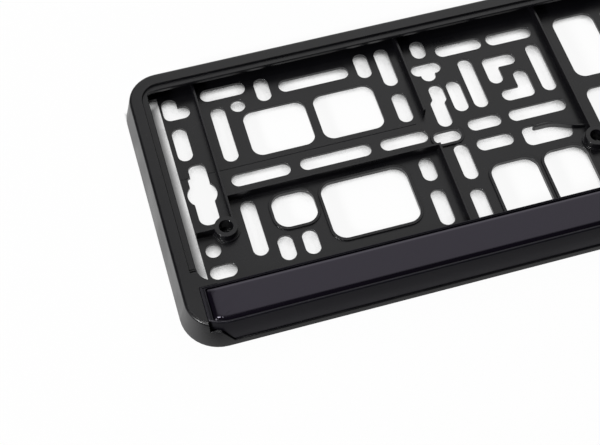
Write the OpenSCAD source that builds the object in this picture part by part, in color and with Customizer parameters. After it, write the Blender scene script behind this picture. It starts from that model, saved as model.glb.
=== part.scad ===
// Number plate holder: a moulded back frame with an overhanging rim, a clip-in holding strip along
// its lower edge, and a domed label in the strip. It lies on its back with the plate side up. The
// origin is the middle of the underside, X runs along the plate and Y points to its upper edge.

/* [Holder] */
// Overall length at the base
holder_l = 532; // [528:1:560]
// Overall height of the holder, lower edge to upper edge, at the base
holder_h = 137.8; // [130:0.2:150]
// Depth from the wall that it hangs on to the front of the rim
holder_t = 14; // [13:0.5:18]
// Corner radius of the outline at the base
corner_r = 17; // [14:0.5:22]
// How far the outer wall leans in over the full depth
lean = 2.9; // [1.5:0.1:4]
// Thickness of the outer wall
wall = 2; // [1.6:0.1:2.4]
// Radius of the rounded front edge of the rim
edge_r = 1.3; // [0.6:0.1:2]

/* [Rim] */
// Base edge to the step in the face of the rim
step_in = 8.4; // [7:0.1:9.6]
// Depth of that step
step_t = 1.1; // [0.3:0.1:1.3]
// Base edge to the free edge of the lip, which covers the plate's edge
lip_in = 11.4; // [10.4:0.1:13]
// Thickness of the lip
lip_t = 1.6; // [1.4:0.1:2.2]
// Base edge to the back plate beside the slots under the end lips
side_slot_in = 15.7; // [14:0.1:16.4]

/* [Back plate] */
// Gap between the back plate and the surface behind the holder
plate_gap = 3.5; // [2.6:0.1:4.5]
// Thickness of the back plate
plate_t = 1.5; // [1.2:0.1:2]
// Height of the ribs and screw bosses above the back plate
rib_h = 4.3; // [3.5:0.1:5]
// Thickness of the ribs
rib_t = 1; // [0.8:0.1:1.4]
// Width of the small slots
slot_w = 6.8; // [6:0.1:7.2]
// Radius of the corners of the large windows
window_r = 5; // [3:0.5:6]
// Radius of the corners of the beaded windows
beaded_r = 6; // [3:0.5:7]
// Width of the raised bead round the beaded windows
bead_w = 1.3; // [0.6:0.1:1.4]
// Height of that bead
bead_h = 0.7; // [0.4:0.1:1.2]

/* [Screw bosses] */
// Base edge of the holder's end to the outer boss
outer_boss_in = 29; // [28:0.5:30]
// Distance between the two inner bosses
inner_pitch = 131; // [128:1:136]
// Lower base edge to the line of the bosses
screw_line = 50.6; // [48:0.1:53]
// Outer diameter of a boss
boss_d = 10.2; // [9:0.1:11]
// Bore of a boss, which takes the screw's head
bore_d = 6.2; // [4.5:0.1:6.6]
// Hole for the screw's shank in the foot of a boss
shank_d = 4.2; // [3.2:0.1:4.4]

/* [Holding strip] */
// Lower base edge to the upper edge of the strip
strip_h = 22.2; // [20:0.1:23]
// Base edge of the holder's end to the end of the strip
strip_in = 10.3; // [9.8:0.1:11.2]
// Height of the ledge that the strip stands on
ledge_z = 2.5; // [2:0.1:3]
// How far the strip's face stands back from the rim's outer wall
strip_back = 0.7; // [0.3:0.1:1]
// Radius of the front edge of the strip
strip_edge_r = 0.6; // [0.4:0.1:1.3]
// Height at which the strip's end steps over the frame's corner
tab_z = 9.2; // [8:0.1:11]
// Seam between the strip and the frame
seam = 0.2; // [0.1:0.05:0.3]
// Length of a snap leg
leg_l = 14; // [8:1:18]
// Number of snap legs in each half of the strip
legs = 4; // [2:1:5]

/* [Label] */
// Border between the strip's end and the label
label_side = 2.1; // [1.2:0.1:2.6]
// Border between the strip's upper edge and the label
label_top = 0.8; // [0.6:0.1:2.5]
// Border between the strip's lower edge and the label
label_low = 1; // [0.8:0.1:3]
// Depth of the label's recess
recess = 1.1; // [0.8:0.1:1.4]
// Corner radius of the label
label_r = 1; // [0.6:0.1:4]
// Fall of the label's rolled edge
dome = 0.6; // [0.2:0.05:0.7]
// Width of the rolled edge
roll = 2.4; // [1:0.1:4]

/* [Hidden] */
$fn = 48;
over = 1; // how far a cutting shape runs past what it cuts
tall = holder_t + 26; // a height beyond every piece
half_l = holder_l / 2;
half_h = holder_h / 2;
lean_angle = atan(lean / holder_t);
lip_z = holder_t - step_t - lip_t;
floor_z = plate_gap + plate_t;
rib_top = floor_z + rib_h;
outer_x = half_l - outer_boss_in;
inner_x = inner_pitch / 2;
screw_y = screw_line - half_h;
top_y = holder_h - screw_line; // upper base edge, from the line of the bosses
strip_r = strip_h - 2.2; // corner radius of the strip's front, carried down to the base
wall_y = top_y - wall - lean * rib_top / holder_t + wall / 4; // foot of the ribs in the upper wall

// Small slots that run up the plate beside the outer boss: middle, lower end and upper end, from that boss
upright = [
  [-7.8, 40, 58.4], [83.2, 62, 76], [34.8, 62.2, 75], [93.5, 54.3, 76], [11.8, 34.2, 64.8],
  [93.8, 33, 50], [12, -15.8, 12.4], [94.1, 0, 12.4], [93.9, -23.4, -4.6], [23, -21.2, -8.6],
  [33.9, -21.2, -8.8]
];
// The same beside the inner boss, from that boss
upright_in = [
  [-60.4, 65.7, 75.8], [-51.3, 31.8, 49.7], [-41.9, 31.4, 60.1], [-8.2, 31.8, 59.8],
  [-59.7, -4.1, 15.3], [-60.7, -29, -9], [-59.8, 38.5, 49.7], [-61.4, 25.7, 42],
  [-30.6, 42.2, 57.8], [-19, 31.4, 47.2], [-60.3, 52, 62]
];
// Small slots that run along the plate beside the outer boss: middle, left end and right end, from that boss
level = [
  [72.3, 6.2, 27.3], [67.9, 42.4, 75.9], [24, 8.5, 35.6], [23.9, 40.1, 73.2], [23.8, 77.7, 100],
  [-18.6, -11.9, 0]
];
// The same beside the inner boss, from that boss
level_in = [
  [67.1, -52.8, -30.1], [67, -27.6, -5.1], [59.3, -67.4, -53.1], [23.3, -52.3, -36.4],
  [23.2, -32.5, -4.9], [12, -52.1, -34.7], [54.4, -33.8, -17.9], [34.8, -31.4, -15.6]
];
// Large windows: left, low, right and high, from the outer boss
windows = [[21.8, 33.7, 51, 58.5], [55, 33.5, 83.8, 58.7]];
// Windows with a bead round them, given the same way
beaded = [[21.8, -5.8, 40.9, 11.4], [44.4, -17.9, 84, 11.4]];
beaded_in = [[-51.5, -29, -29.5, 0.3], [-26.5, -29, -5.8, 0.3]]; // the same, from the inner boss
// The level slot with a bead: middle, left end and right end, from the inner boss
beaded_slot = [20.2, -69.9, -56.9];
// Round holes: middle across and up, from the outer boss
holes = [[21.6, 63], [-7.8, -7.8]];
// The stepped openings at the holder's end: left, low, right, high and corner radius
stepped = [
  [-12.3, 63, -5.3, 74.8, 3.2], [-12.3, 63, -0.2, 69.8, 3.2],
  [-8.6, 24, -0.8, 37.2, 3], [-9.9, 14, -1, 31, 1.2], [-9.9, 5, -1, 22, 4]
];
keyhole = [-5.4, 21.3, 6.6]; // middle across, middle up and radius of the round in the tall opening
// Windows of the middle field: left, low, right and high, from the inner boss
middle = [[6.1, 34.8, 26.6, 70.5], [30.5, 34.8, 51, 70.5], [6.1, -20, 26.6, 28.2], [30.5, -20, 51, 28.2]];
middle_slots = [[58, 38, 67], [58, -16, 24]]; // middle, lower end and upper end

rib_1 = 3.8; // ribs that run up the plate, from the outer boss
rib_2 = [101.8, 35]; // place and free lower end
low_wall = [102.3, -34]; // the wall of the lower field and its lower end
cross_rib = 15.2; // the rib that runs along the plate, from the line of the bosses
end_rib = 0.5; // the rib from the side slot to the outer boss
rib_3 = -0.7; // rib over the inner boss, from that boss
boss_foot = [0.9, 0.9]; // how far a boss's foot stands out, and its height above the plate
shank_l = 2.2; // length of the narrow hole in a boss's foot
witness = [30.7, 110, 0.4, 0.15]; // the fine line across the plate: place up, length, width and height

finger_root = [-1.2, 8.5]; // the spring finger's root, from the inner boss
finger_l = 22.5;
finger_rise = 5;
finger_bend = 0.75; // share of the finger's length over which it rises
finger_t = 0.9;
finger_h = 1.5;
finger_gap = 0.4;
finger_room = [-30.2, 5.3, -7.4, 15.8]; // left, low, right and high of the opening round the finger
finger_free = -13.5; // right end of the clear space behind the finger
finger_steps = 16;

slot_top = 77; // upper and lower ends of the slots under the end lips, from the line of the bosses
slot_low = -19.5;
plate_slot_low = -21.6; // lower end of their openings in the back plate, under the flat corners
corner_bow = 6.8; // radius of the curved edge of the flat lower corners
corner_lap = 1; // how far they run in under the rim's face
notch = [2.8, 1.4]; // the small notch where the step of the rim ends: along X and along Y
notch_low = 1.1; // slot's lower end to the notch's lower side
notch_ledge = [0.7, 0.35]; // width and depth of the ledge over the notch
lip_edge = 0.35; // bevel of the lip's free edge
lip_corner_r = 2.5; // corner radius of the lips' inner edge at the top

// The seam at the strip's end, from the holder's end, and the strip's own section
tab_in = strip_in + 4.8;
toe_in = strip_in + 9.5;
strip_wall = 2;
deck_t = 1.7;
deck_z = holder_t - recess - deck_t; // underside of the strip's deck
end_wall = [6.4, 21, 1.2]; // the strip's end walls: lower base edge to both their ends, and thickness
groove = [0.45, 0.4]; // width and depth of the fine groove in the label's border
groove_in = [1.1, 0.4]; // strip's end and its upper edge to that groove
groove_low = 6.5; // lower base edge to the groove's lower ends
post_in = [9.5, 5.2, 8.6]; // posts under the strip's ends: left, lower and upper side, from the base edges
riser_in = 4.4; // lower base edge to the riser between ledge and back plate
leg_t = 1.6;
leg_in = 12; // lower base edge to a snap leg
hook = 1;
hook_h = 1.2;
leg_pitch = (half_l - 60) / legs;

// Points of an arc about c with radius r, from angle a to angle b
function arc(c, r, a, b, n = 6) = [
  for (i = [0 : n]) let (turn = a + (b - a) * i / n) c + r * [cos(turn), sin(turn)]
];
// A section's points to a thousandth of a millimetre, so that its runs and corners meet exactly
function neat(points) = [for (p = points) [round(p[0] * 1000), round(p[1] * 1000)] / 1000];
// How far in the outer wall has leaned at height z
function leaned(z) = lean * z / holder_t;
// Height of the finger's curve at a share t of its length
function bow(t) = let (u = min(1, t / finger_bend)) finger_rise * u * u * (3 - 2 * u);

// The front edge of radius r over a leaning wall that starts at distance in from the base edge
function front_edge(in, r) =
  arc([in + leaned(holder_t - r) + r / cos(lean_angle), holder_t - r], r, 180 - lean_angle, 90);

// Section of the rim: distance in from the base edge, height
rim_section = neat(concat(
  [[0, 0]], front_edge(0, edge_r),
  [[step_in, holder_t], [step_in + step_t / 3, holder_t - step_t],
   [lip_in - lip_edge, holder_t - step_t], [lip_in, holder_t - step_t - lip_edge],
   [lip_in, lip_z], [wall + leaned(lip_z), lip_z], [wall, 0]]
));

// Section of the lower edge, with the ledge that the strip stands on
flange_section = neat([
  [0, 0], [leaned(ledge_z), ledge_z], [riser_in, ledge_z], [riser_in, floor_z],
  [riser_in + wall * 1.5, floor_z], [riser_in + wall * 1.5, plate_gap], [riser_in + wall / 2, plate_gap],
  [riser_in + wall / 2, ledge_z - plate_t], [wall, ledge_z - plate_t], [wall, 0]
]);

module both_ends() {
  children();
  mirror([1, 0, 0]) children();
}

// Puts what is measured from a boss in its place
module from_outer() translate([-outer_x, screw_y]) children();
module from_inner() translate([-inner_x, screw_y]) children();

// A rectangle with round corners, given by its left, low, right and high sides
module rounded(b, r) {
  translate([b[0] + r, b[1]]) square([b[2] - b[0] - 2 * r, b[3] - b[1]]);
  translate([b[0], b[1] + r]) square([b[2] - b[0], b[3] - b[1] - 2 * r]);
  for (x = [b[0] + r, b[2] - r], y = [b[1] + r, b[3] - r]) translate([x, y]) circle(r);
}

// A slot with round ends, from a to b along X
module slot(a, b) {
  r = slot_w / 2;
  translate([a + r, -r]) square([b - a - slot_w, slot_w]);
  for (x = [a + r, b - r]) translate([x, 0]) circle(r);
}

// The left half's openings that have no bead
module plain_openings() {
  from_outer() {
    for (s = upright) translate([s[0], 0]) rotate(90) slot(s[1], s[2]);
    for (s = level) translate([0, s[0]]) slot(s[1], s[2]);
    for (w = windows) rounded(w, window_r);
    for (w = stepped) rounded(w, w[4]);
    for (h = holes) translate(h) circle(slot_w / 2);
    translate([keyhole[0], keyhole[1]]) circle(keyhole[2]);
  }
  from_inner() {
    for (s = upright_in) translate([s[0], 0]) rotate(90) slot(s[1], s[2]);
    for (s = level_in) translate([0, s[0]]) slot(s[1], s[2]);
    for (w = middle) rounded(w, window_r);
    for (s = middle_slots) translate([s[0], 0]) rotate(90) slot(s[1], s[2]);
    finger_opening();
  }
}

// The left half's openings with a bead, grown by g
module beaded_openings(g) {
  from_outer() for (w = beaded) beaded_window(w, g);
  from_inner() {
    for (w = beaded_in) beaded_window(w, g);
    r = slot_w / 2 + g;
    rounded([beaded_slot[1] - g, beaded_slot[0] - r, beaded_slot[2] + g, beaded_slot[0] + r], r - 0.01);
  }
}

module beaded_window(w, g) rounded([w[0] - g, w[1] - g, w[2] + g, w[3] + g], beaded_r + g);

// A stretch of the finger's curve as a band, from low to high above its front face
module finger_band(low, high) {
  n = finger_steps;
  polygon(concat(
    [for (i = [0 : n]) finger_root + [-finger_l * i / n, bow(i / n) + low]],
    [for (i = [n : -1 : 0]) finger_root + [-finger_l * i / n, bow(i / n) + high]]
  ));
}

// The opening round the finger: clear in front of it, and narrow slits on both sides of its root
module finger_opening() {
  r = slot_w / 2;
  reach = finger_t + finger_gap;
  left = finger_room[0];
  low = finger_room[1];
  right = finger_room[2];
  rounded([left, low, finger_free, finger_room[3]], r);
  difference() {
    rounded([left, low, right, finger_room[3]], r);
    finger_band(reach, tall);
  }
  intersection() {
    translate([finger_free, low]) square([-finger_free, tall]);
    finger_band(-finger_gap, reach);
  }
}

module finger() {
  linear_extrude(finger_h + plate_t) {
    finger_band(0, finger_t);
    translate(finger_root + [-finger_l, finger_rise + finger_t]) circle(finger_t * 0.9);
  }
}

// Snap legs' places, from the middle of the holder
module at_legs() {
  for (i = [0 : legs - 1]) translate([leg_pitch * (i + 0.5), 0, 0]) children();
}

// The back plate with all its openings
module back_plate() {
  inset = wall * 0.95;
  linear_extrude(plate_t) difference() {
    rounded([inset - half_l, inset - half_h, half_l - inset, half_h - inset], corner_r - inset);
    both_ends() {
      plain_openings();
      beaded_openings(0);
      translate([-half_l, screw_y + plate_slot_low]) square([side_slot_in, slot_top - plate_slot_low]);
      at_legs() translate([-seam, leg_in - half_h - seam]) square([leg_l + 2 * seam, leg_t + hook + 2 * seam]);
      translate([strip_in - half_l, -half_h]) square([half_l, riser_in]);
    }
  }
}

// A rib between two points of its middle line, which runs along X or along Y
module rib(a, b) {
  translate([min(a[0], b[0]) - rib_t / 2, min(a[1], b[1]) - rib_t / 2, 0])
    cube([abs(b[0] - a[0]) + rib_t, abs(b[1] - a[1]) + rib_t, plate_t + rib_h]);
}

// The left half's ribs, which carry the plate
module ribs() {
  from_outer() {
    rib([rib_1, 0], [rib_1, wall_y]);
    rib([rib_2[0], rib_2[1]], [rib_2[0], wall_y]);
    rib([low_wall[0], low_wall[1]], [low_wall[0], cross_rib]);
    rib([rib_1, cross_rib], [low_wall[0], cross_rib]);
    rib([side_slot_in - outer_boss_in + rib_t / 2, end_rib], [0, end_rib]);
  }
  from_inner() {
    rib([rib_3, 0], [rib_3, wall_y]);
    finger();
  }
}

// What stands a little above the left half's plate: beads, the feet of the bosses and a fine line
module raised_lines() {
  linear_extrude(bead_h) difference() {
    beaded_openings(bead_w);
    beaded_openings(0);
  }
  linear_extrude(boss_foot[1]) difference() {
    foot_r = boss_d / 2 + boss_foot[0];
    union() {
      from_outer() circle(foot_r);
      from_inner() circle(foot_r);
    }
    plain_openings();
  }
  linear_extrude(witness[3]) difference() {
    from_outer() translate([side_slot_in - outer_boss_in, witness[0]]) square([witness[1], witness[2]]);
    plain_openings();
  }
}

// Places that repeat at the four bosses
module at_bosses() {
  both_ends() {
    from_outer() children();
    from_inner() children();
  }
}

// The rim: three straight runs and four corners of one section
module rim() {
  run_l = holder_l - 2 * corner_r;
  run_h = holder_h - 2 * corner_r;
  translate([-run_l / 2, half_h, 0]) rotate([90, 0, 90])
    linear_extrude(run_l) polygon([for (p = rim_section) [-p[0], p[1]]]);
  both_ends() {
    translate([-half_l, run_h / 2, 0]) rotate([90, 0, 0]) linear_extrude(run_h) polygon(rim_section);
    translate([-run_l / 2, run_h / 2, 0]) rotate(90) corner(rim_section, corner_r);
    translate([-run_l / 2, -run_h / 2, 0]) rotate(180) corner(rim_section, corner_r);
    translate([-run_l / 2, -half_h, 0]) rotate([90, 0, 90])
      linear_extrude(toe_in + over - corner_r) polygon(rim_section);
  }
}

// A quarter turn of a section round a corner of radius r
module corner(section, r) {
  rotate_extrude(angle = 90) polygon([for (p = section) [r - p[0], p[1]]]);
}

// What is cut from the lips' upper corners to leave a small radius
module lip_corners() {
  far = corner_r + lip_corner_r;
  both_ends() translate([-half_l, half_h, lip_z - over])
    linear_extrude(tall) rounded([lip_in, -far, far, -lip_in], lip_corner_r);
}

// The lower edge under the strip
module flange() {
  translate([corner_r - half_l, -half_h, 0]) rotate([90, 0, 90])
    linear_extrude(holder_l - 2 * corner_r) polygon(flange_section);
  both_ends() translate([corner_r - half_l, corner_r - half_h, 0]) rotate(180) corner(flange_section, corner_r);
}

// The flat lower corners round the strip's ends
module corner_decks() {
  lap = step_in - corner_lap;
  deck_h = screw_line + slot_low;
  both_ends() translate([-half_l, -half_h, lip_z]) linear_extrude(holder_t - lip_z) difference() {
    intersection() {
      rounded([lap, lap, holder_l / 2, holder_h / 2], corner_r - lap);
      square([lip_in + corner_bow, deck_h]);
    }
    translate([lip_in + corner_bow, deck_h]) circle(corner_bow);
  }
}

// The notch under the end of the rim's step, with a fine ledge over it
module notches() {
  top = holder_t - step_t;
  both_ends() translate([step_in - half_l, screw_y + slot_low - notch_low, 0]) {
    translate([0, 0, lip_z - over]) cube([notch[0], notch[1], tall]);
    translate([0, 0, top - notch_ledge[1]]) cube([notch[0], notch[1] + notch_ledge[0], tall]);
  }
}

// Posts that the strip's ends stand on
module posts() {
  both_ends() translate([post_in[0] - half_l, post_in[1] - half_h, plate_gap])
    cube([toe_in + over - post_in[0], post_in[2] - post_in[1], lip_z - plate_gap]);
}

// The strip's outline seen from below the holder, drawn in by c
module strip_front(c) {
  left = [
    [strip_in + c, tall], [strip_in + c, tab_z + c], [tab_in + c, tab_z + c], [toe_in + c, ledge_z + c / 2]
  ];
  n = len(left);
  polygon(concat(
    [for (p = left) [p[0] - half_l, p[1]]],
    [for (i = [n - 1 : -1 : 0]) [half_l - left[i][0], left[i][1]]]
  ));
}

// The room in the frame that the strip fills
module strip_room() {
  translate([0, riser_in - half_h, 0]) rotate([90, 0, 0]) linear_extrude(riser_in + over) strip_front(0);
  translate([strip_in - half_l, riser_in - over / 2 - half_h, floor_z])
    cube([holder_l - 2 * strip_in, strip_h + seam - riser_in + over / 2, tall]);
}

module base_frame() color([0.13, 0.13, 0.135]) {
  difference() {
    union() {
      difference() {
        union() {
          rim();
          corner_decks();
          posts();
        }
        strip_room();
        notches();
        lip_corners();
      }
      flange();
      translate([0, 0, plate_gap]) {
        back_plate();
        both_ends() ribs();
      }
      translate([0, 0, floor_z]) both_ends() raised_lines();
      at_bosses() cylinder(d = boss_d, h = rib_top);
    }
    at_bosses() {
      translate([0, 0, -over]) cylinder(d = shank_d, h = tall);
      translate([0, 0, shank_l]) cylinder(d = bore_d, h = tall);
    }
  }
}

// Section of the strip's face and of its deck, open towards the plate
strip_section = neat(concat(
  [[strip_back + leaned(ledge_z), ledge_z + seam / 2]], front_edge(strip_back, strip_edge_r),
  [[strip_r, holder_t], [strip_r, deck_z], [strip_back + strip_wall + leaned(deck_z), deck_z],
   [strip_back + strip_wall + leaned(ledge_z), ledge_z + seam / 2]]
));

// Plan outline of the label, drawn in by g: its lower corners follow the strip's curve
module label_outline(g) {
  low = strip_back + lean + label_low + g;
  x = half_l - strip_in - seam - label_side - g;
  intersection() {
    rounded([-x, low - half_h, x, strip_h - label_top - g - half_h], label_r);
    rounded([low - half_l, low - half_h, half_l - low, half_h - low], strip_r - low);
  }
}

// The fine groove in the label's border, along the strip's ends and its upper edge
module groove_outline() {
  x = half_l - strip_in - seam - groove_in[0];
  high = strip_h - groove_in[1] - half_h;
  low = groove_low - half_h;
  difference() {
    translate([-x, low]) square([2 * x, high - low]);
    translate([groove[0] - x, low - over]) square([2 * (x - groove[0]), high - low + over - groove[0]]);
  }
}

module snap_leg() {
  top = deck_z + deck_t / 2;
  low = plate_gap - seam - hook_h;
  translate([0, leg_in - half_h, 0]) rotate([90, 0, 90]) linear_extrude(leg_l) polygon([
    [0, top], [0, low + hook_h / 2], [leg_t / 2, low], [leg_t + hook, plate_gap - seam - hook_h / 3],
    [leg_t + hook, plate_gap - seam], [leg_t, plate_gap - seam], [leg_t, top]
  ]);
}

// The strip's face and deck, swept round its ends
module strip_shell() {
  run = holder_l - 2 * strip_r;
  translate([-run / 2, -half_h, 0]) rotate([90, 0, 90]) linear_extrude(run) polygon(strip_section);
  both_ends() translate([-run / 2, strip_r - half_h, 0]) rotate(180) corner(strip_section, strip_r);
  translate([-half_l, strip_r - half_h, deck_z]) cube([holder_l, strip_h - strip_r, holder_t - deck_z]);
}

module holding_strip() color([0.15, 0.15, 0.155]) {
  both_ends() at_legs() snap_leg();
  difference() {
    union() {
      intersection() {
        strip_shell();
        translate([0, strip_h + over - half_h, 0]) rotate([90, 0, 0])
          linear_extrude(strip_h + 2 * over) strip_front(seam);
      }
      both_ends() translate([strip_in + seam - half_l, end_wall[0] - half_h, tab_z + seam])
        cube([end_wall[2], end_wall[1] - end_wall[0], deck_z + deck_t / 2 - tab_z - seam]);
    }
    translate([0, 0, holder_t - recess]) linear_extrude(tall) label_outline(0);
    translate([0, 0, holder_t - groove[1]]) linear_extrude(tall) groove_outline();
  }
}

// The rolled edge of the label: distance in from its side, height
function rolled(n = 8) = [
  for (i = [0 : n]) let (turn = i * 90 / n) [roll * (1 - cos(turn)), recess - dome + dome * sin(turn)]
];

// A section of the label between a and b
module label_section(a, b) {
  edge = rolled();
  n = len(edge);
  polygon(neat(concat(
    [[a, 0]], [for (p = edge) [a + p[0], p[1]]],
    [for (i = [n - 1 : -1 : 0]) [b - edge[i][0], edge[i][1]]], [[b, 0]]
  )));
}

// The label: a thin slab with rolled upper edges
module label_dome() color([0.17, 0.16, 0.18]) {
  low = strip_back + lean + label_low + seam / 2 - half_h;
  high = strip_h - label_top - seam / 2 - half_h;
  end_x = half_l - strip_in - seam - label_side - seam / 2;
  translate([0, 0, holder_t - recess]) intersection() {
    linear_extrude(recess + over) label_outline(seam / 2);
    translate([-half_l, 0, 0]) rotate([90, 0, 90]) linear_extrude(holder_l) label_section(low, high);
    translate([0, half_h, 0]) rotate([90, 0, 0]) linear_extrude(holder_h) label_section(-end_x, end_x);
  }
}

base_frame();
holding_strip();
label_dome();
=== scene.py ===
"""Looks of the number plate holder: its plastics, its domed label and the studio round it."""

import logging
import math
from dataclasses import dataclass, field
from enum import Enum

import bmesh
import bpy
from mathutils import Matrix, Vector


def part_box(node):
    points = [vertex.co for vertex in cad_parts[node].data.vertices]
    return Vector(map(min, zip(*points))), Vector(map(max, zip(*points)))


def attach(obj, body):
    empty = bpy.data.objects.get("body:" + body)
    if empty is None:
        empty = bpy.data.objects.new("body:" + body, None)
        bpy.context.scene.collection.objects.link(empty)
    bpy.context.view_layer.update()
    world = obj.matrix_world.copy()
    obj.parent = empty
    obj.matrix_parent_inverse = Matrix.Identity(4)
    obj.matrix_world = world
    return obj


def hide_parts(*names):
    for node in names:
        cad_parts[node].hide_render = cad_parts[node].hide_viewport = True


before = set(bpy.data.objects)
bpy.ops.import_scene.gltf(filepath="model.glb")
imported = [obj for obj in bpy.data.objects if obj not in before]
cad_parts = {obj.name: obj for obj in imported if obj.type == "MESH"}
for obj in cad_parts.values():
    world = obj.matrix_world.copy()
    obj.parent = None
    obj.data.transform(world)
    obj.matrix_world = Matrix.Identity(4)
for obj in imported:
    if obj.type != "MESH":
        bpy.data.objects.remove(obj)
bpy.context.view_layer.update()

LOG = logging.getLogger("plate_holder")
MM = 0.001
PLASTIC_IOR = 1.5
WHITE = (1.0, 1.0, 1.0, 1.0)
SPREAD = (0.3, 0.7)  # span of a noise's values that a drift spreads over its whole range

Colour = tuple[float, float, float]
Point2 = tuple[float, float]
Point3 = tuple[float, float, float]


class Slot(Enum):
    """The record's material slots."""

    MOULDING = "black_moulding"
    STRIP = "strip_moulding"
    LABEL = "label_resin"


class Graph:
    """Adds nodes and links to one shader node tree."""

    def __init__(self, tree: bpy.types.NodeTree) -> None:
        """Empties the tree.

        Args:
            tree: The node tree of a material or of the world.
        """
        self.tree = tree
        tree.nodes.clear()

    def add(self, kind: str, settings: dict | None = None, **inputs: object) -> bpy.types.Node:
        """Adds a node and fills its inputs.

        Args:
            kind: The node's type name without the ShaderNode prefix.
            settings: Properties of the node, by name.
            inputs: Values or output sockets for its inputs, by name with _ for a space.

        Returns:
            The new node.
        """
        node = self.tree.nodes.new("ShaderNode" + kind)
        for name, value in (settings or {}).items():
            setattr(node, name, value)
        for name, value in inputs.items():
            self.put(node, name.replace("_", " "), value)
        return node

    def put(self, node: bpy.types.Node, socket: str | int, value: object) -> None:
        """Sets one input of a node, or links it where the value is an output socket.

        Args:
            node: The node that has the input.
            socket: The input's name or number.
            value: A plain value or an output socket.
        """
        target = node.inputs[socket]
        if isinstance(value, bpy.types.NodeSocket):
            self.tree.links.new(value, target)
        else:
            target.default_value = value

    def math(self, operation: str, a: object, b: object = 0.0, clamp: bool = False) -> bpy.types.NodeSocket:
        """Adds a Math node.

        Args:
            operation: The Math node's operation.
            a: First value or socket.
            b: Second value or socket.
            clamp: Keeps the result between 0 and 1.

        Returns:
            The node's output.
        """
        node = self.add("Math", {"operation": operation, "use_clamp": clamp})
        self.put(node, 0, a)
        self.put(node, 1, b)
        return node.outputs[0]

    def ramp(
        self, value: object, low: float, high: float, start: float = 0.0, end: float = 1.0
    ) -> bpy.types.NodeSocket:
        """Maps a value smoothly from one span to another.

        Args:
            value: The socket to map.
            low: Value that gives start.
            high: Value that gives end.
            start: Result at and below low.
            end: Result at and above high.

        Returns:
            The mapped output.
        """
        node = self.add("MapRange", {"interpolation_type": "SMOOTHSTEP"}, Value=value)
        for name, number in (("From Min", low), ("From Max", high), ("To Min", start), ("To Max", end)):
            self.put(node, name, number)
        return node.outputs[0]

    def noise(
        self, where: bpy.types.NodeSocket, size: float, detail: float = 2.0, rough: float = 0.5
    ) -> bpy.types.NodeSocket:
        """Adds noise with a real size.

        Args:
            where: Coordinates in metres.
            size: Size of the noise's blotches in metres.
            detail: Number of finer layers.
            rough: Share that each finer layer has.

        Returns:
            The noise's value, about 0.5 on average.
        """
        node = self.add("TexNoise", Vector=where, Scale=1 / size, Detail=detail, Roughness=rough)
        return node.outputs["Fac"]


def scaled(colour: Colour, factor: float) -> tuple[float, float, float, float]:
    """A colour times a factor, as the four numbers that a socket takes."""
    return (colour[0] * factor, colour[1] * factor, colour[2] * factor, 1.0)


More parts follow.
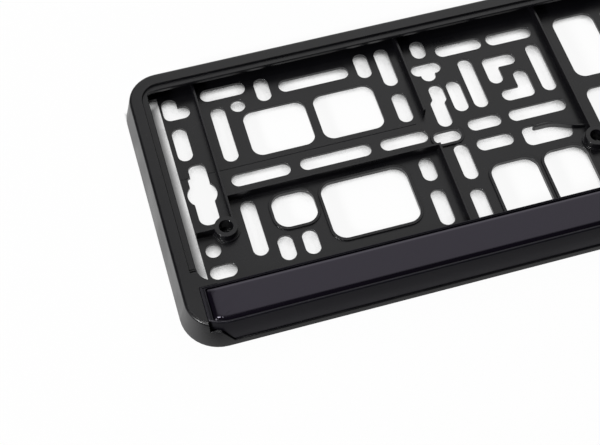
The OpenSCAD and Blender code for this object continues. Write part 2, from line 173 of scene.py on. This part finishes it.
@dataclass(frozen=True)
class MouldedFinish:
    """Black moulded plastic: fine spark grain, drifting tone, and edges that handling has polished."""

    name: str
    colour: Colour = (0.0034, 0.0033, 0.0043)
    drift: float = 0.16  # share by which the tone drifts
    drift_size: float = 34 * MM
    roughness: float = 0.31
    roughness_drift: float = 0.05
    patch_size: float = 21 * MM  # size of the rougher and smoother patches
    specular: float = 0.46
    sheen_tint: Colour = (1.0, 1.0, 1.0)  # tint of what it reflects head-on
    grain_size: float = 0.38 * MM
    grain_height: float = 0.012 * MM
    edge_radius: float = 0.28 * MM
    edge_turn: tuple[float, float] = (0.995, 0.8)  # cosine of the turn where an edge starts and is full
    edge_polish: float = 0.12  # how much smoother a rubbed edge is
    edge_wear: float = 1.5  # how much paler it is
    rub_size: float = 9 * MM  # size of the rubbed stretches
    rub_spread: tuple[float, float] = (0.35, 0.7)  # noise values where the rubbing starts and is full
    speck_pitch: float = 7 * MM  # from one speck of dust to the next
    speck_radius: tuple[float, float] = (0.045, 0.02)  # where a speck starts and is full, as shares of that
    speck_tone: float = 0.05  # share of the dust's colour in a speck
    dust: Colour = (0.5, 0.49, 0.46)

    def build(self) -> bpy.types.Material:
        """Makes the material.

        Returns:
            The finished material.
        """
        material = bpy.data.materials.new(self.name)
        material.use_nodes = True
        g = Graph(material.node_tree)
        where = g.add("TexCoord").outputs["Object"]
        rounded = g.add("Bevel", {"samples": 6}, Radius=self.edge_radius).outputs[0]
        straight = g.add("NewGeometry").outputs["Normal"]
        facing = g.add("VectorMath", {"operation": "DOT_PRODUCT"})
        g.put(facing, 0, rounded)
        g.put(facing, 1, straight)
        edge = g.ramp(facing.outputs["Value"], *self.edge_turn)
        rub = g.math("MULTIPLY", edge, g.ramp(g.noise(where, self.rub_size, 3.0), *self.rub_spread))

        cloud = g.noise(where, self.drift_size, 4.0, 0.6)
        tone = g.add("Mix", {"data_type": "RGBA"})
        g.put(tone, 0, g.ramp(cloud, *SPREAD))
        g.put(tone, 6, scaled(self.colour, 1 - self.drift))
        g.put(tone, 7, scaled(self.colour, 1 + self.drift))
        worn = g.add("Mix", {"data_type": "RGBA"})
        g.put(worn, 0, rub)
        g.put(worn, 6, tone.outputs[2])
        g.put(worn, 7, scaled(self.colour, 1 + self.edge_wear))
        spots = g.add("TexVoronoi", {"feature": "F1"}, Vector=where, Scale=1 / self.speck_pitch)
        speck = g.math("MULTIPLY", g.ramp(spots.outputs["Distance"], *self.speck_radius), self.speck_tone)
        dusty = g.add("Mix", {"data_type": "RGBA"})
        g.put(dusty, 0, speck)
        g.put(dusty, 6, worn.outputs[2])
        g.put(dusty, 7, scaled(self.dust, 1.0))

        drift = self.roughness_drift
        patchy = g.ramp(g.noise(where, self.patch_size, 3.0), *SPREAD, -drift, drift)
        matt = g.math("ADD", patchy, self.roughness)
        polished = g.math("SUBTRACT", matt, g.math("MULTIPLY", edge, self.edge_polish))
        grain = g.noise(where, self.grain_size, 3.0, 0.6)
        bump = g.add("Bump", Height=grain, Distance=self.grain_height, Strength=1.0, Normal=rounded)
        shader = g.add("BsdfPrincipled", Base_Color=dusty.outputs[2], Roughness=polished, IOR=PLASTIC_IOR)
        g.put(shader, "Normal", bump.outputs[0])
        g.put(shader, "Specular IOR Level", self.specular)
        g.put(shader, "Specular Tint", scaled(self.sheen_tint, 1.0))
        g.add("OutputMaterial", Surface=shader.outputs[0])
        return material


@dataclass(frozen=True)
class ResinFinish:
    """Clear domed resin over a plain black print, slightly violet where the light goes deep."""

    name: str
    colour: Colour = (0.0019, 0.0011, 0.0034)
    drift: float = 0.15  # share by which the tone drifts
    drift_size: float = 60 * MM
    sheen_tint: Colour = (0.89, 0.83, 1.0)  # tint of what it reflects head-on
    specular: float = 0.6
    roughness: float = 0.13
    roughness_drift: float = 0.015
    patch_size: float = 3 * MM  # size of the rougher and smoother patches
    ripple_size: float = 16 * MM
    ripple_height: float = 0.006 * MM

    def build(self) -> bpy.types.Material:
        """Makes the material.

        Returns:
            The finished material.
        """
        material = bpy.data.materials.new(self.name)
        material.use_nodes = True
        g = Graph(material.node_tree)
        where = g.add("TexCoord").outputs["Object"]
        tone = g.add("Mix", {"data_type": "RGBA"})
        g.put(tone, 0, g.ramp(g.noise(where, self.drift_size, 3.0), *SPREAD))
        g.put(tone, 6, scaled(self.colour, 1 - self.drift))
        g.put(tone, 7, scaled(self.colour, 1 + self.drift))
        ripple = g.noise(where, self.ripple_size, 2.0)
        bump = g.add("Bump", Height=ripple, Distance=self.ripple_height, Strength=1.0)
        smooth, rough = self.roughness - self.roughness_drift, self.roughness + self.roughness_drift
        gloss = g.ramp(g.noise(where, self.patch_size, 3.0), *SPREAD, smooth, rough)
        shader = g.add("BsdfPrincipled", Base_Color=tone.outputs[2], Roughness=gloss, IOR=PLASTIC_IOR)
        g.put(shader, "Normal", bump.outputs[0])
        g.put(shader, "Specular IOR Level", self.specular)
        g.put(shader, "Specular Tint", scaled(self.sheen_tint, 1.0))
        g.add("OutputMaterial", Surface=shader.outputs[0])
        return material


@dataclass(frozen=True)
class TableFinish:
    """The white table: a white background with a soft shadow, partly real and partly painted.

    Its places are in metres from the holder's middle.
    """

    name: str = "white_table"
    colour: Colour = (0.97, 0.97, 0.968)
    cloud_size: float = 0.4  # size of the clouds in its tone, in metres
    cloud_tone: float = 0.985  # tone of the darker clouds
    bounce: float = 0.45  # share of the colour that lights the holder
    glow: float = 0.9  # share of plain white in what is seen, beside the lit paper
    reach: float = 20 * MM  # how far round a place a piece can close its view of the sky, for the painted shade
    closed: tuple[float, float] = (0.12, 0.34)  # shares of open sky that leave none and all of that white: painted shade under and beside pieces
    left_painted_shade_span: tuple[float, float] = (-0.33, -0.285)  # where the painted shade in its reflection is full and where it ends, along X
    front_painted_shade_span: tuple[float, float] = (-0.08, -0.061)  # the same along Y
    painted_left_shade: float = 0.1  # share of the reflection that the painted shade leaves beyond the holder's left end
    painted_front_shade: float = 0.18  # the same in front of the holder, a painted shadow of the holder in its reflection
    painted_lip_shadow: tuple[float, float] = (0.2538, 0.2494)  # full and end of the painted shadow under the end lips
    lip_painted_darkness: float = 0.2  # share of the white in that painted shadow
    outside: tuple[float, float] = (0.264, 0.2665)  # where the table comes out from under the ends
    lip_middle: float = 0.0115  # middle of the end lips along Y
    lip_painted_reach: tuple[float, float] = (0.0435, 0.0475)  # from there to where their painted shadow fades and is gone

    def build(self) -> bpy.types.Material:
        """Makes the material.

        Returns:
            The finished material.
        """
        material = bpy.data.materials.new(self.name)
        material.use_nodes = True
        g = Graph(material.node_tree)
        path = g.add("LightPath").outputs
        where = g.add("TexCoord").outputs["Object"]
        tone = g.add("Mix", {"data_type": "RGBA"})
        g.put(tone, 0, g.noise(where, self.cloud_size, 3.0))
        g.put(tone, 6, scaled(self.colour, self.cloud_tone))
        g.put(tone, 7, scaled(self.colour, 1.0))
        mirrored = g.math("MAXIMUM", path["Is Glossy Ray"], path["Is Transmission Ray"])
        shown = g.math("MAXIMUM", path["Is Camera Ray"], mirrored)
        seen = g.add("Mix", {"data_type": "RGBA"})
        g.put(seen, 0, shown)
        g.put(seen, 6, scaled(self.colour, self.bounce))
        g.put(seen, 7, tone.outputs[2])
        paper = g.add("BsdfDiffuse", Color=seen.outputs[2], Roughness=1.0)
        # painted shade: the white dims where pieces close over the table, as a contact shadow would
        sky = g.add("AmbientOcclusion", {"samples": 8}, Distance=self.reach).outputs["AO"]
        place = g.add("SeparateXYZ", Vector=where).outputs
        # painted shade in the table as reflections see it, beyond the holder's left end and in front of it;
        # the camera sees it unshaded
        beside = g.ramp(place["X"], *self.left_painted_shade_span, self.painted_left_shade)
        lit = g.math("MULTIPLY", beside, g.ramp(place["Y"], *self.front_painted_shade_span, self.painted_front_shade))
        # painted shadow on the table under the end lips, only along the lips' length and not out beyond the
        # ends
        away = g.math("ABSOLUTE", place["X"])
        beyond = g.math("ABSOLUTE", g.math("SUBTRACT", place["Y"], self.lip_middle))
        clear = g.math("MAXIMUM", g.ramp(away, *self.outside), g.ramp(beyond, *self.lip_painted_reach))
        under = g.math("MAXIMUM", g.ramp(away, *self.painted_lip_shadow, self.lip_painted_darkness), clear)
        # what is left of the white after the painted shade and the painted shadow under the end lips
        open_share = g.math("MULTIPLY", g.ramp(sky, *self.closed), under)
        strength = g.math("MULTIPLY", open_share, g.math("MAXIMUM", path["Is Camera Ray"], lit))
        white = g.add("Emission", Color=WHITE, Strength=strength)
        mix = g.add("MixShader")
        g.put(mix, 0, g.math("MULTIPLY", shown, self.glow))
        g.put(mix, 1, paper.outputs[0])
        g.put(mix, 2, white.outputs[0])
        g.add("OutputMaterial", Surface=mix.outputs[0])
        return material


def dress(piece: bpy.types.Object, material: bpy.types.Material) -> None:
    """Gives a piece one material in all its slots.

    Args:
        piece: The object to dress.
        material: Its new material.
    """
    if not piece.material_slots:
        piece.data.materials.append(material)
    for slot in piece.material_slots:
        slot.material = material


@dataclass
class MouldedPart:
    """A moulded part that keeps the shape of its CAD node."""

    node: str
    finish: MouldedFinish

    def build(self) -> list[bpy.types.Object]:
        """Dresses the part.

        Returns:
            The part's pieces.
        """
        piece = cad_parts[self.node]
        dress(piece, self.finish.build())
        return [piece]


@dataclass
class MouldedFrame(MouldedPart):
    """The holder's frame with its slotted back plate, ribs, bosses and spring fingers."""

    node: str = "base_frame"
    finish: MouldedFinish = MouldedFinish("satin_black_moulding")


@dataclass
class HoldingStrip(MouldedPart):
    """The clip-in strip that holds the plate's lower edge."""

    node: str = "holding_strip"
    finish: MouldedFinish = MouldedFinish(
        "satin_black_strip",
        colour=(0.0032, 0.0030, 0.0050),
        roughness=0.33,
        drift_size=46 * MM,
        specular=0.37,
        sheen_tint=(0.93, 0.9, 1.0),
    )


@dataclass
class DomedLabel:
    """The blank label under clear resin, whose edge rolls down into the strip's recess."""

    node: str = "label_dome"
    corner_radius: float = 0.9 * MM
    softening: float = 1.0  # growth of the corner's radius across the rolled edge
    curve_radius: float = 15.3 * MM  # of the lower edge where it follows the strip's ends
    curve_start: float = 7.3 * MM  # from the label's end to the middle of that curve
    foot: float = 0.16 * MM  # height of the resin's upright edge above the recess
    roll: float = 2.4 * MM  # width of the rolled edge
    roll_power: float = 0.8  # 1 makes the roll a quarter of an ellipse, and less draws its rings inward
    roll_steps: int = 14
    corner_steps: int = 10
    crown: float = 0.02 * MM  # how much higher the middle is than the start of the roll
    shoulder: tuple[float, float] = (1.3, 1.7)  # half and full crown, in widths of the roll from the edge
    finish: ResinFinish = ResinFinish("domed_black_resin")

    def outline(self, low: Vector, high: Vector, inset: float) -> list[Point2]:
        """One closed line round the label, drawn in from its edge.

        Args:
            low: The label's lowest corner.
            high: The label's highest corner.
            inset: How far the line lies in from the edge.

        Returns:
            Points along the line, anticlockwise.
        """
        radius = self.corner_radius + self.softening * min(inset, self.roll)
        curve = self.curve_radius - inset
        middle = Vector((high.x - self.curve_start, low.y + self.curve_radius))
        lower_x = high.x - inset - radius
        run = lower_x - middle.x
        lower_y = middle.y - math.sqrt((curve - radius) ** 2 - run ** 2)
        meet = math.degrees(math.atan2(lower_y - middle.y, run))
        half = self.arc(middle, curve, -90, meet)
        half += self.arc(Vector((lower_x, lower_y)), radius, meet, 0)
        half += self.arc(Vector((lower_x, high.y - inset - radius)), radius, 0, 90)
        centre = (low.x + high.x) / 2
        return half + [(2 * centre - x, y) for x, y in reversed(half)]

    def arc(self, middle: Vector, radius: float, start: float, end: float) -> list[Point2]:
        """Points along an arc.

        Args:
            middle: The arc's centre.
            radius: Its radius.
            start: Its first angle in degrees.
            end: Its last angle in degrees.

        Returns:
            The points, with both ends.
        """
        steps = self.corner_steps
        turns = [math.radians(start + (end - start) * i / steps) for i in range(steps + 1)]
        return [(middle.x + radius * math.cos(a), middle.y + radius * math.sin(a)) for a in turns]

    def build(self) -> list[bpy.types.Object]:
        """Builds the resin body over the CAD label.

        Returns:
            The label's pieces.
        """
        low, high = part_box(self.node)
        fall = high.z - self.crown - low.z - self.foot
        rings = [(0.0, low.z), (0.0, low.z + self.foot)]
        for i in range(1, self.roll_steps + 1):
            a = math.radians(90 * i / self.roll_steps)
            inset = self.roll * (1 - math.cos(a)) ** self.roll_power
            rings.append((inset, low.z + self.foot + fall * math.sin(a)))
        rings.append((self.roll * self.shoulder[0], high.z - self.crown / 2))
        rings.append((self.roll * self.shoulder[1], high.z))
        mesh = bmesh.new()
        lines = []
        for inset, height in rings:
            lines.append([mesh.verts.new((x, y, height)) for x, y in self.outline(low, high, inset)])
        count = len(lines[0])
        for lower, upper in zip(lines, lines[1:]):
            for i in range(count):
                k = (i + 1) % count
                mesh.faces.new((lower[i], lower[k], upper[k], upper[i])).smooth = True
        mesh.faces.new(lines[-1]).smooth = True
        mesh.faces.new(list(reversed(lines[0])))
        piece = mesh_piece("label_resin_dome", mesh)
        dress(piece, self.finish.build())
        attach(piece, "root")
        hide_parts(self.node)
        return [piece]


def mesh_piece(name: str, mesh: bmesh.types.BMesh) -> bpy.types.Object:
    """Makes an object from a mesh under construction.

    Args:
        name: The piece's name.
        mesh: Its mesh, which is freed.

    Returns:
        The new object, linked to the scene.
    """
    bmesh.ops.recalc_face_normals(mesh, faces=mesh.faces)
    data = bpy.data.meshes.new(name)
    mesh.to_mesh(data)
    mesh.free()
    piece = bpy.data.objects.new(name, data)
    bpy.context.scene.collection.objects.link(piece)
    return piece


@dataclass(frozen=True)
class SoftLamp:
    """A rectangular soft lamp that faces the holder."""

    name: str
    towards: Point3  # direction in which it hangs, as seen from the holder
    distance: float
    width: float
    height: float
    brightness: float  # of its face, where 1 is white

    def build(self, aim: Vector) -> bpy.types.Object:
        """Hangs the lamp.

        Args:
            aim: The point that it faces.

        Returns:
            The lamp.
        """
        direction = Vector(self.towards).normalized()
        data = bpy.data.lights.new(self.name, "AREA")
        data.shape = "RECTANGLE"
        data.size, data.size_y = self.width, self.height
        data.energy = self.brightness * math.pi * self.width * self.height
        lamp = bpy.data.objects.new(self.name, data)
        along = (Vector((1, 0, 0)) - direction * direction.x).normalized()
        turn = Matrix((along, direction.cross(along), direction)).transposed().to_4x4()
        lamp.matrix_world = Matrix.Translation(aim + direction * self.distance) @ turn
        bpy.context.scene.collection.objects.link(lamp)
        return lamp


@dataclass
class Studio:
    """The white table, the lamps and the sky of a plain product picture."""

    half_table: float = 5.0
    aim: Point3 = (-0.12, 0.0, 0.0)  # what the lamps face
    sky: float = 0.05  # light of the room from where no white is shown
    backdrop: float = 0.74  # share of white that reflections show low behind the holder
    backdrop_back: tuple[float, float] = (0.58, 0.8)  # where it starts and is full, as Y of the direction
    backdrop_left: tuple[float, float] = (-0.5, -0.2)  # the same as X
    right_wall: float = 0.42  # share of white that reflections show to the right
    wall_side: tuple[float, float] = (0.45, 0.7)  # where it starts and is full, as X of the direction
    table: TableFinish = TableFinish()
    lamps: list[SoftLamp] = field(
        default_factory=lambda: [
            SoftLamp("softbox_middle", (0.345, 0.60, 0.722), 1.61, width=1.34, height=1.26, brightness=0.44),
            SoftLamp("softbox_edge", (0.316, 0.567, 0.76), 1.61, width=1.7, height=1.62, brightness=0.44),
            SoftLamp("left_lamp", (-0.8, -0.36, 0.47), 1.8, width=0.34, height=0.28, brightness=85.0),
            SoftLamp("front_glint", (-0.42, -0.24, 0.87), 1.8, width=0.26, height=0.22, brightness=26.0),
            SoftLamp("upper_glint", (-0.21, 0.1, 0.97), 1.8, width=0.2, height=0.17, brightness=44.0),
        ]
    )

    def build(self) -> None:
        """Lays the table, hangs the lamps and sets the sky."""
        self.lay_table()
        for lamp in self.lamps:
            lamp.build(Vector(self.aim))
        self.set_sky()

    def lay_table(self) -> None:
        """Lays the table under the holder."""
        mesh = bmesh.new()
        corners = [(-1, -1), (1, -1), (1, 1), (-1, 1)]
        mesh.faces.new([mesh.verts.new((x * self.half_table, y * self.half_table, 0)) for x, y in corners])
        floor = mesh_piece("white_table", mesh)
        dress(floor, self.table.build())

    def set_sky(self) -> None:
        """Sets the sky: white for the camera, and a share of white by direction for reflections."""
        world = bpy.data.worlds.new("studio_sky")
        bpy.context.scene.world = world
        world.use_nodes = True
        g = Graph(world.node_tree)
        path = g.add("LightPath").outputs
        way = g.add("SeparateXYZ", Vector=g.add("TexCoord").outputs["Generated"]).outputs
        depth = g.ramp(way["Y"], *self.backdrop_back, 0.0, self.backdrop)
        behind = g.math("MULTIPLY", depth, g.ramp(way["X"], *self.backdrop_left))
        walls = g.math("MAXIMUM", behind, g.ramp(way["X"], *self.wall_side, 0.0, self.right_wall))
        mirrored = g.math("MAXIMUM", path["Is Glossy Ray"], path["Is Transmission Ray"])
        shown = g.math("MAXIMUM", path["Is Camera Ray"], g.math("MULTIPLY", mirrored, walls))
        room = g.add("Background", Color=WHITE, Strength=self.sky)
        white = g.add("Background", Color=WHITE, Strength=1.0)
        mix = g.add("MixShader")
        g.put(mix, 0, shown)
        g.put(mix, 1, room.outputs[0])
        g.put(mix, 2, white.outputs[0])
        g.add("OutputWorld", Surface=mix.outputs[0])


@dataclass
class Viewpoint:
    """The photograph's camera."""

    place: Point3 = (-0.2861, -0.2955, 0.4852)
    right: Point3 = (0.9606, -0.2780, 0.0038)
    up: Point3 = (0.2374, 0.8271, 0.5096)
    lens: float = 77.3  # in millimetres, like the sensor
    sensor: float = 36.0
    nearest: float = 0.01
    farthest: float = 50.0

    def build(self) -> None:
        """Sets the camera."""
        data = bpy.data.cameras.new("photo_camera")
        data.lens, data.sensor_width, data.sensor_fit = self.lens, self.sensor, "HORIZONTAL"
        data.clip_start, data.clip_end = self.nearest, self.farthest
        camera = bpy.data.objects.new("photo_camera", data)
        right = Vector(self.right).normalized()
        back = right.cross(Vector(self.up)).normalized()
        turn = Matrix((right, back.cross(right), back)).transposed().to_4x4()
        camera.matrix_world = Matrix.Translation(self.place) @ turn
        bpy.context.scene.collection.objects.link(camera)
        bpy.context.scene.camera = camera


def main() -> None:
    """Builds the holder's looks, the studio and the camera."""
    logging.basicConfig(level=logging.INFO, format="%(name)s: %(message)s")
    Viewpoint().build()
    bpy.context.scene.view_settings.view_transform = "Standard"
    parts = {Slot.MOULDING: MouldedFrame(), Slot.STRIP: HoldingStrip(), Slot.LABEL: DomedLabel()}
    for slot, part in parts.items():
        for piece in part.build():
            LOG.info("%s in %s: %d faces", piece.name, slot.value, len(piece.data.polygons))
    Studio().build()


if __name__ == "__main__":
    main()
